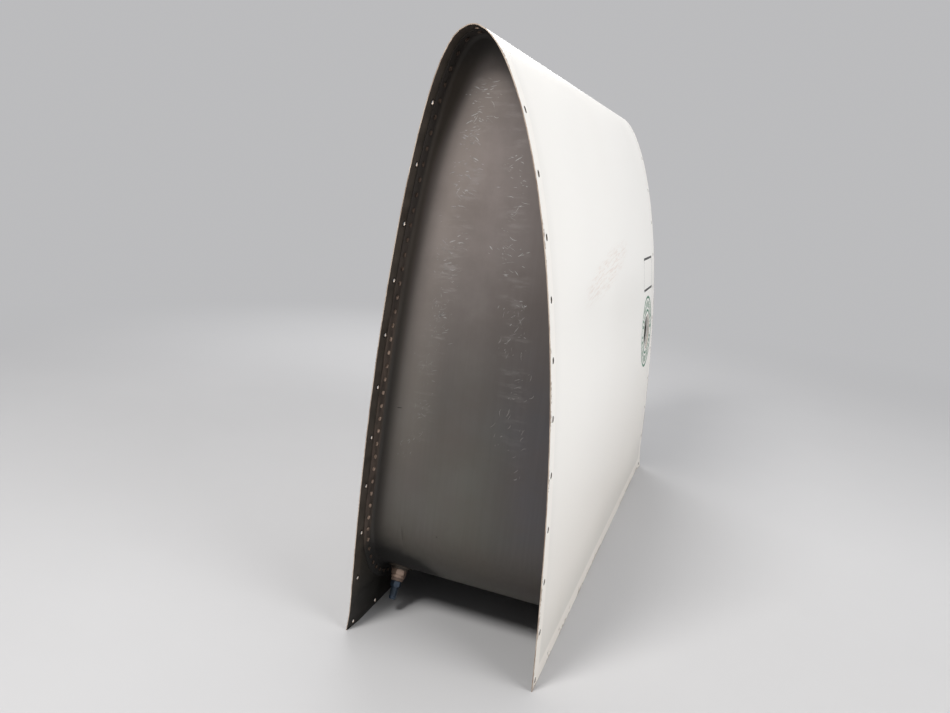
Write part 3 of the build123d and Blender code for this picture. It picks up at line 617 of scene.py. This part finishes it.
# painted shade: near-black round the outlet and along the low left corner, where the web lies in shadow
corner_shade_distance = nodes.new("ShaderNodeVectorMath")
corner_shade_distance.operation = "DISTANCE"
squeezed = nodes.new("ShaderNodeVectorMath")
squeezed.operation = "MULTIPLY"
squeezed.inputs[1].default_value = (0.75, 0.0, 1.0)
links.new(place, squeezed.inputs[0])
links.new(squeezed.outputs[0], corner_shade_distance.inputs[0])
corner_shade_distance.inputs[1].default_value = (-0.078, 0.0, 0.046)
corner_shade_edge = noise(nodes, links, place, 18.0, 3.0, 0.5)
corner_shade_edge = math_node(nodes, links, "MULTIPLY", corner_shade_edge, 0.036)
painted_corner_shade = math_node(nodes, links, "ADD", corner_shade_distance.outputs["Value"], corner_shade_edge)
painted_corner_shade = ease(nodes, links, painted_corner_shade, 0.097, 0.068)
colour = blend(nodes, links, math_node(nodes, links, "MULTIPLY", painted_corner_shade, 0.97), colour, (0.007, 0.006, 0.005, 1))
clear = math_node(nodes, links, "MULTIPLY", clear, math_node(nodes, links, "SUBTRACT", 1.0, painted_corner_shade))
links.new(colour, shader.inputs["Base Color"])
shine = math_node(nodes, links, "MULTIPLY", clear, math_node(nodes, links, "SUBTRACT", 1.0, on_flange))
dull = ease(nodes, links, shine, 0.0, 1.0, 0.68, 0.48)
dull = math_node(nodes, links, "MAXIMUM", dull, ease(nodes, links, painted_corner_shade, 0.0, 1.0, 0.0, 0.92))
links.new(dull, shader.inputs["Roughness"])
links.new(math_node(nodes, links, "MULTIPLY", shine, 0.45), shader.inputs["Metallic"])

for name, end, node in (
    ("inboard_rib_sheet", -1, "inboard_end_rib"),
    ("outboard_rib_sheet", 1, "outboard_end_rib"),
):
    rib = end_rib_sheet(name, end)
    rib.data.materials.append(web_metal)
    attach(rib, "root")
    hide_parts(node)

# short pale scratches, in two loose rows down the near web
scratch_metal, nodes, links, shader = new_material("scratch_finish")
place = nodes.new("ShaderNodeTexCoord").outputs["Object"]
dirt = place_group(nodes, grime_group, Scale=120.0, Amount=1.0)
links.new(place, dirt.inputs["Vector"])
split = nodes.new("ShaderNodeSeparateXYZ")
links.new(place, split.inputs[0])
high_up = ease(nodes, links, split.outputs["Z"], 0.34, 0.52)
colour = blend(nodes, links, high_up, (0.22, 0.21, 0.20, 1), (0.46, 0.45, 0.44, 1))
colour = blend(nodes, links, dirt.outputs["Mask"], colour, (0.17, 0.155, 0.145, 1))
links.new(colour, shader.inputs["Base Color"])
shader.inputs["Roughness"].default_value = 0.5
shader.inputs["Metallic"].default_value = 0.3


scratch_lift = 0.00006


def scratch(points, faces, x, z, turn, length, width, curl):
    """A bent stroke that tapers at both ends, laid on the near web."""
    base = len(points)
    for j in range(8):
        share = j / 7
        angle = turn + curl * (share - 0.5)
        x += length / 7 * cos(angle)
        z += length / 7 * sin(angle)
        half = width * (0.25 + sin(pi * share))
        for way in (-1, 1):
            points.append((x - way * half * sin(angle), -web_y - scratch_lift, z + way * half * cos(angle)))
    faces += [(base + 2 * j, base + 2 * j + 2, base + 2 * j + 3, base + 2 * j + 1) for j in range(7)]


def scratch_piece(name, points, faces, finish):
    mesh = bpy.data.meshes.new(name)
    mesh.from_pydata(points, [], faces)
    mesh.materials.append(finish)
    piece = bpy.data.objects.new(name, mesh)
    bpy.context.collection.objects.link(piece)
    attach(piece, "root")


chance = np.random.default_rng(7)
points, faces = [], []
for row_x, row_z, count in (
    ((-0.070, -0.052, -0.046, -0.033, -0.016), (0.210, 0.390, 0.490, 0.600, 0.686), 84),
    ((0.062, 0.046, 0.040, 0.020, 0.020), (0.205, 0.340, 0.415, 0.510, 0.585), 42),
):
    for k in range(count):
        rise = row_z[0] + (row_z[-1] - row_z[0]) * chance.random() ** 0.7
        middle = float(np.interp(rise, row_z, row_x)) + chance.normal() * 0.008
        lean = radians(chance.choice((-20, -6, 8, 24) if rise > 0.44 else (18, 48, 66, 80))) + chance.normal() * 0.3
        for _ in range(int(chance.integers(2, 6))):
            x = middle + chance.normal() * 0.005
            z = rise + chance.normal() * 0.005
            turn = lean + chance.normal() * 0.3
            length = 0.0018 + 0.0078 * chance.random() ** 2
            width = 0.00010 + 0.00034 * chance.random() ** 2
            scratch(points, faces, x, z, turn, length, width, chance.normal() * 0.7)
scratch_piece("web_scratches", points, faces, scratch_metal)

# a few dark scores low on the near web
dark_score, nodes, links, shader = new_material("dark_score_finish")
place = nodes.new("ShaderNodeTexCoord").outputs["Object"]
dirt = place_group(nodes, grime_group, Scale=90.0, Amount=0.8)
links.new(place, dirt.inputs["Vector"])
links.new(
    blend(nodes, links, dirt.outputs["Mask"], (0.030, 0.026, 0.022, 1), (0.062, 0.052, 0.044, 1)),
    shader.inputs["Base Color"],
)
shader.inputs["Roughness"].default_value = 0.6
points, faces = [], []
scratch(points, faces, -0.0740, 0.1513, radians(-79), 0.036, 0.00022, 0.35)
scratch(points, faces, -0.0935, 0.2970, radians(3), 0.0070, 0.00050, 0.2)
scratch(points, faces, -0.0280, 0.1425, radians(-30), 0.0022, 0.00060, 0.3)
scratch(points, faces, 0.0080, 0.1200, radians(-14), 0.0120, 0.00035, -0.4)
scratch_piece("web_scores", points, faces, dark_score)


# Rear wall and baffles
# The wall behind the fuel and the three baffles are pressed from thin bare sheet. They are hidden
# in use, so they keep the plain mill finish, with brown handling marks.
def give_finish(node_names, finish):
    for node_name in node_names:
        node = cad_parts[node_name]
        node.data.materials.clear()
        node.data.materials.append(finish)


inner_sheet, nodes, links, shader = new_material("inner_sheet_finish")
place = nodes.new("ShaderNodeTexCoord").outputs["Object"]
lines = place_group(nodes, brushed_group, Stretch=(1.0, 0.04, 1.0))
links.new(place, lines.inputs["Vector"])
dirt = place_group(nodes, grime_group, Scale=8.0, Amount=0.6)
links.new(place, dirt.inputs["Vector"])
colour = blend(nodes, links, lines.outputs["Line"], (0.22, 0.21, 0.20, 1), (0.30, 0.29, 0.27, 1))
colour = blend(nodes, links, dirt.outputs["Mask"], colour, (0.17, 0.13, 0.10, 1))
links.new(colour, shader.inputs["Base Color"])
links.new(ease(nodes, links, lines.outputs["Line"], 0.0, 1.0, 0.38, 0.52), shader.inputs["Roughness"])
shader.inputs["Metallic"].default_value = 0.7
give_finish(("rear_wall", "inner_baffle", "middle_baffle", "outer_baffle", "level_tab", "vent_clip"), inner_sheet)


# Rivets
# The rivets are driven flush outside and painted over, so only their formed tails show inside.
# They carry a tan chromate film and dried sealant; the light patches of the blotched film are painted glints, and the
# tails are painted darker high up and low down as shade.
rivet_film_and_painted_light, nodes, links, shader = new_material("rivet_finish")
place = nodes.new("ShaderNodeTexCoord").outputs["Object"]
split = nodes.new("ShaderNodeSeparateXYZ")
links.new(place, split.inputs[0])
dirt = place_group(nodes, grime_group, Scale=170.0, Amount=1.0)
links.new(place, dirt.inputs["Vector"])
colour = blend(nodes, links, dirt.outputs["Mask"], (0.66, 0.49, 0.39, 1), (0.075, 0.050, 0.036, 1))
# painted shade: the tails darken towards the nose and low in the bend
high_up = ease(nodes, links, split.outputs["Z"], 0.36, 0.50, 0.0, 0.85)
high_up = math_node(nodes, links, "MAXIMUM", high_up, ease(nodes, links, split.outputs["Z"], 0.130, 0.090, 0.0, 0.9))
colour = blend(nodes, links, high_up, colour, (0.070, 0.048, 0.036, 1))
links.new(colour, shader.inputs["Base Color"])
shader.inputs["Roughness"].default_value = 0.35
shader.inputs["Metallic"].default_value = 0.25
give_finish([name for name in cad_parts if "rivet" in name], rivet_film_and_painted_light)


# Fuel outlet and the other fittings
# A turned boss, a brass bushing, a seal and a blue anodised nipple carry fuel out of the low corner;
# the vent, sender ring, drain and filler neck are machined aluminium or painted with the skin.
machined, nodes, links, shader = new_material("machined_finish")
place = nodes.new("ShaderNodeTexCoord").outputs["Object"]
lines = place_group(nodes, brushed_group, Stretch=(1.0, 1.0, 0.2))
links.new(place, lines.inputs["Vector"])
colour = blend(nodes, links, lines.outputs["Line"], (0.42, 0.41, 0.39, 1), (0.55, 0.54, 0.52, 1))
links.new(colour, shader.inputs["Base Color"])
links.new(ease(nodes, links, lines.outputs["Line"], 0.0, 1.0, 0.28, 0.42), shader.inputs["Roughness"])
shader.inputs["Metallic"].default_value = 0.9
give_finish(("sender_ring", "drain_boss", "vent_fitting", "vent_nut", "vent_tube"), machined)

# the filler neck: painted down to its rim, bare inside, and painted near-black below the rim as the shade down the
# bore
neck_finish, nodes, links, shader = new_material("filler_neck_finish")
place = nodes.new("ShaderNodeTexCoord").outputs["Object"]
neck_seat = Vector(on_skin(filler_run, filler_y, 0.0))
neck_axis = (neck_seat - Vector(on_skin(filler_run, filler_y, 0.01))).normalized()
depth = nodes.new("ShaderNodeVectorMath")
depth.operation = "DOT_PRODUCT"
depth.inputs[1].default_value = neck_axis
links.new(place, depth.inputs[0])
above = math_node(nodes, links, "SUBTRACT", depth.outputs["Value"], neck_seat.dot(neck_axis))
dirt = place_group(nodes, grime_group, Scale=25.0, Amount=0.6)
links.new(place, dirt.inputs["Vector"])
dark = blend(nodes, links, dirt.outputs["Mask"], (0.026, 0.020, 0.017, 1), (0.014, 0.011, 0.009, 1))
colour = blend(nodes, links, ease(nodes, links, above, -0.0050, -0.0041), dark, (0.80, 0.785, 0.75, 1))
links.new(colour, shader.inputs["Base Color"])
shader.inputs["Roughness"].default_value = 0.42
give_finish(("filler_neck",), neck_finish)

boss_metal, nodes, links, shader = new_material("outlet_boss_finish")
place = nodes.new("ShaderNodeTexCoord").outputs["Object"]
dirt = place_group(nodes, grime_group, Scale=30.0, Amount=0.9)
links.new(place, dirt.inputs["Vector"])
links.new(
    blend(nodes, links, dirt.outputs["Mask"], (0.09, 0.075, 0.06, 1), (0.05, 0.035, 0.025, 1)),
    shader.inputs["Base Color"],
)
shader.inputs["Roughness"].default_value = 0.6
shader.inputs["Metallic"].default_value = 0.3
give_finish(("outlet_boss",), boss_metal)

brass, nodes, links, shader = new_material("brass_finish")
place = nodes.new("ShaderNodeTexCoord").outputs["Object"]
dirt = place_group(nodes, grime_group, Scale=50.0, Amount=0.7)
links.new(place, dirt.inputs["Vector"])
links.new(
    blend(nodes, links, dirt.outputs["Mask"], (0.37, 0.26, 0.205, 1), (0.085, 0.060, 0.045, 1)),
    shader.inputs["Base Color"],
)
shader.inputs["Roughness"].default_value = 0.4
shader.inputs["Metallic"].default_value = 0.35
give_finish(("outlet_strainer", "drain_plug"), brass)

outlet_axis = Vector((0, -0.5, -sqrt(0.75)))
outlet_side = Vector((1, 0, 0))
outlet_depth = outlet_axis.cross(outlet_side)
bushing_foot = Vector((-0.091, -0.3679, 0.056989))
nipple_foot = Vector((-0.091, -0.3759, 0.0431325))


def turned(name, foot, bore, rings, finish, node):
    """A bored fitting: each ring is a height, a round radius and a size over flats (0 where round)."""
    steps = 72
    rings = [(rings[0][0], bore, 0)] + rings + [(rings[-1][0], bore, 0)]
    points = []
    for height, radius, flats in rings:
        for k in range(steps):
            turn = 2 * pi * k / steps
            reach = radius
            if flats:
                reach = min(radius, flats / 2 / cos((turn + pi / 6) % (pi / 3) - pi / 6))
            out = outlet_side * (reach * cos(turn)) + outlet_depth * (reach * sin(turn))
            points.append(foot + outlet_axis * height + out)
    faces = []
    for i in range(len(rings)):
        low, high = i * steps, (i + 1) % len(rings) * steps
        faces += [(low + k, low + (k + 1) % steps, high + (k + 1) % steps, high + k) for k in range(steps)]
    mesh = bpy.data.meshes.new(name)
    mesh.from_pydata([tuple(point) for point in points], [], faces)
    mesh.shade_smooth()
    mesh.set_sharp_from_angle(angle=radians(25))
    mesh.materials.append(finish)
    piece = bpy.data.objects.new(name, mesh)
    bpy.context.collection.objects.link(piece)
    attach(piece, "root")
    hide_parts(node)
    return piece


bushing_rings = [(-0.0090, 0.0072, 0), (-0.0084, 0.0079, 0), (-0.0003, 0.0079, 0), (0.0, 0.0092, 0)]
bushing_rings += [(0.0010, 0.0104, 0.018), (0.0070, 0.0104, 0.018), (0.0077, 0.0094, 0.018), (0.0079, 0.0086, 0)]
bushing_rings += [(0.0086, 0.0085, 0), (0.0088, 0.0093, 0), (0.0111, 0.0093, 0), (0.0115, 0.0088, 0)]
bushing = turned("outlet_bushing_turned", bushing_foot, 0.0051, bushing_rings, brass, "outlet_bushing")

seal_rubber, nodes, links, shader = new_material("seal_finish")
place = nodes.new("ShaderNodeTexCoord").outputs["Object"]
dirt = place_group(nodes, grime_group, Scale=70.0, Amount=0.8)
links.new(place, dirt.inputs["Vector"])
links.new(
    blend(nodes, links, dirt.outputs["Mask"], (0.22, 0.15, 0.12, 1), (0.08, 0.055, 0.042, 1)),
    shader.inputs["Base Color"],
)
shader.inputs["Roughness"].default_value = 0.7
give_finish(("outlet_seal",), seal_rubber)

blue_film, nodes, links, shader = new_material("blue_anodised_finish")
place = nodes.new("ShaderNodeTexCoord").outputs["Object"]
dirt = place_group(nodes, grime_group, Scale=70.0, Amount=0.7)
links.new(place, dirt.inputs["Vector"])
links.new(
    blend(nodes, links, dirt.outputs["Mask"], (0.040, 0.064, 0.100, 1), (0.050, 0.055, 0.062, 1)),
    shader.inputs["Base Color"],
)
shader.inputs["Roughness"].default_value = 0.35
shader.inputs["Metallic"].default_value = 0.6
nipple_rings = [(-0.0140, 0.0046, 0), (-0.0136, 0.0050, 0), (-0.0002, 0.0050, 0), (0.0, 0.0058, 0)]
nipple_rings += [(0.0007, 0.0072, 0.0124), (0.0072, 0.0072, 0.0124), (0.0080, 0.0060, 0), (0.0084, 0.0047, 0)]
thread_pitch = 0.0012
for k in range(9):
    root = 0.0092 + thread_pitch * k
    nipple_rings += [(root, 0.0047, 0), (root + 0.0003, 0.0052, 0)]
    nipple_rings += [(root + 0.0007, 0.0052, 0), (root + 0.0010, 0.0047, 0)]
nipple_rings += [(0.0205, 0.0046, 0), (0.0210, 0.0051, 0), (0.0248, 0.0039, 0), (0.0250, 0.0036, 0)]
nipple = turned("outlet_nipple_turned", nipple_foot, 0.0034, nipple_rings, blue_film, "outlet_nipple")


# Filler markings
# Round the filler hole the paint carries a green double ring with marks between, and above it a
# plain placard with a thin border and black bars. Both are thin films of ink on the paint.
film_lift = 0.00012


def film(name, spots, faces, finish):
    mesh = bpy.data.meshes.new(name)
    mesh.from_pydata([on_skin(s, y, -film_lift) for s, y in spots], [], faces)
    mesh.materials.append(finish)
    mesh.shade_smooth()
    piece = bpy.data.objects.new(name, mesh)
    bpy.context.collection.objects.link(piece)
    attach(piece, "root")
    return piece


def film_ink(name, ink, worn):
    material, nodes, links, shader = new_material(name)
    place = nodes.new("ShaderNodeTexCoord").outputs["Object"]
    dirt = place_group(nodes, grime_group, Scale=45.0, Amount=0.8)
    links.new(place, dirt.inputs["Vector"])
    links.new(blend(nodes, links, dirt.outputs["Mask"], ink, worn), shader.inputs["Base Color"])
    shader.inputs["Roughness"].default_value = 0.45
    return material


green_ink = film_ink("green_ink_finish", (0.006, 0.130, 0.058, 1), (0.03, 0.20, 0.11, 1))
black_ink = film_ink("black_ink_finish", (0.012, 0.012, 0.012, 1), (0.05, 0.05, 0.05, 1))
ring_spots = []
ring_faces = []


def ring_arc(inner, outer, start, end):
    steps = max(2, ceil((end - start) / radians(3)))
    base = len(ring_spots)
    for k in range(steps + 1):
        turn = start + (end - start) * k / steps
        for radius in (inner, outer):
            ring_spots.append((filler_run + radius * cos(turn), filler_y + radius * sin(turn)))
    for k in range(steps):
        a = base + 2 * k
        ring_faces.append((a, a + 1, a + 3, a + 2))


ring_arc(0.0652, 0.0696, 0, 2 * pi)
ring_arc(0.0396, 0.0436, 0, 2 * pi)
for k in range(34):
    if k % 17 != 8:
        middle = 2 * pi * k / 34
        half = radians((3.0, 1.6, 2.4)[k % 3])
        ring_arc(0.0475, 0.0612 if k % 2 else 0.0590, middle - half, middle + half)
film("filler_ring_film", ring_spots, ring_faces, green_ink)

bar_spots = []
bar_faces = []
for height, y_low, y_high in ((0.4484, 0.300, 0.411), (0.3905, 0.304, 0.417)):
    base = len(bar_spots)
    middle = run_at_height(1, height)
    for k in range(9):
        y = y_low + (y_high - y_low) * k / 8
        bar_spots += [(middle - 0.0022, y), (middle + 0.0022, y)]
    for k in range(8):
        a = base + 2 * k
        bar_faces.append((a, a + 1, a + 3, a + 2))
run_low, run_high = run_at_height(1, 0.3905), run_at_height(1, 0.4484)
for y in (0.303, 0.412):
    base = len(bar_spots)
    for k in range(9):
        middle = run_low + (run_high - run_low) * k / 8
        bar_spots += [(middle, y - 0.0006), (middle, y + 0.0006)]
    for k in range(8):
        a = base + 2 * k
        bar_faces.append((a, a + 2, a + 3, a + 1))
film("placard_bars_film", bar_spots, bar_faces, black_ink)


# Floor and room
# A plain pale floor and a pale room round it, lit by soft lamps: one high on the left in front,
# whose shadow falls across the web, wide ones over and to the right for the white side, and one
# behind for the far end and the lower side.
floor_mesh = bpy.data.meshes.new("floor")
floor_mesh.from_pydata([(-9, -9, 0), (9, -9, 0), (9, 9, 0), (-9, 9, 0)], [], [(0, 1, 2, 3)])
floor = bpy.data.objects.new("floor", floor_mesh)
bpy.context.collection.objects.link(floor)
floor_finish, nodes, links, shader = new_material("floor_finish")
place = nodes.new("ShaderNodeTexCoord").outputs["Object"]
dirt = place_group(nodes, grime_group, Scale=1.2, Amount=0.3)
links.new(place, dirt.inputs["Vector"])
links.new(
    blend(nodes, links, dirt.outputs["Mask"], (0.50, 0.50, 0.51, 1), (0.45, 0.45, 0.46, 1)),
    shader.inputs["Base Color"],
)
shader.inputs["Roughness"].default_value = 0.85
# far off, the floor takes the room's own tone, so no horizon shows
backdrop_tone = (0.50, 0.50, 0.51, 1)
haze = nodes.new("ShaderNodeEmission")
haze.inputs["Color"].default_value = backdrop_tone
far_off = nodes.new("ShaderNodeVectorMath")
far_off.operation = "LENGTH"
links.new(place, far_off.inputs[0])
seen = nodes.new("ShaderNodeLightPath")
fading = math_node(
    nodes, links, "MULTIPLY", ease(nodes, links, far_off.outputs["Value"], 0.9, 2.6), seen.outputs["Is Camera Ray"]
)
mixed = nodes.new("ShaderNodeMixShader")
links.new(fading, mixed.inputs[0])
links.new(shader.outputs[0], mixed.inputs[1])
links.new(haze.outputs[0], mixed.inputs[2])
links.new(mixed.outputs[0], nodes["Material Output"].inputs["Surface"])
floor_mesh.materials.append(floor_finish)

world = bpy.data.worlds.new("room")
bpy.context.scene.world = world
world.use_nodes = True
nodes, links = world.node_tree.nodes, world.node_tree.links
seen = nodes.new("ShaderNodeLightPath")
backdrop = math_node(nodes, links, "MAXIMUM", seen.outputs["Is Camera Ray"], seen.outputs["Is Transmission Ray"])
backdrop = math_node(nodes, links, "MAXIMUM", backdrop, seen.outputs["Is Glossy Ray"])
tone = blend(nodes, links, backdrop, (0.22, 0.22, 0.225, 1), backdrop_tone)
links.new(tone, nodes["Background"].inputs["Color"])


def lamp(name, aim, direction, distance, size, power, colour=(1, 1, 1)):
    light = bpy.data.lights.new(name, "AREA")
    light.shape = "DISK"
    light.size = size
    light.energy = power
    light.color = colour
    piece = bpy.data.objects.new(name, light)
    bpy.context.collection.objects.link(piece)
    heading = Vector(direction).normalized()
    piece.location = Vector(aim) + heading * distance
    piece.rotation_euler = heading.to_track_quat("Z", "Y").to_euler()
    return piece


lamp("key_lamp", (-0.02, -0.42, 0.4), (-0.28, -0.62, 0.80), 2.6, 0.8, 62, (1.0, 0.98, 0.95))
lamp("right_lamp", (0.1, 0, 0.3), (0.95, -0.30, 0.50), 3.4, 2.8, 84, (1.0, 0.995, 0.98))
lamp("top_lamp", (0, 0, 0.6), (0.10, 0.1, 1.0), 2.8, 2.4, 24)
lamp("back_lamp", (0, 0.2, 0.35), (-0.62, 1.0, 0.45), 3.0, 2.4, 46)

bpy.context.scene.view_settings.view_transform = "Standard"


# Camera
# It stands in front of the inboard end, a little to the right and above, and looks down on the tank.
camera_yaw = radians(25.86)
camera_pitch = radians(16.43)
camera_roll = radians(3.45)
back = Vector((sin(camera_yaw) * cos(camera_pitch), -cos(camera_yaw) * cos(camera_pitch), sin(camera_pitch)))
level_right = (-back).cross(Vector((0, 0, 1))).normalized()
level_up = level_right.cross(-back)
right = cos(camera_roll) * level_right + sin(camera_roll) * level_up
up = -sin(camera_roll) * level_right + cos(camera_roll) * level_up
camera = bpy.data.objects.new("camera", bpy.data.cameras.new("camera"))
bpy.context.collection.objects.link(camera)
camera.matrix_world = Matrix((right, up, back)).transposed().to_4x4()
camera.location = (0.2550, -1.2511, 0.5543)
camera.data.lens = 29.306
camera.data.shift_x = 0.1267
camera.data.shift_y = 0.0579
camera.data.clip_start = 0.01
bpy.context.scene.camera = camera
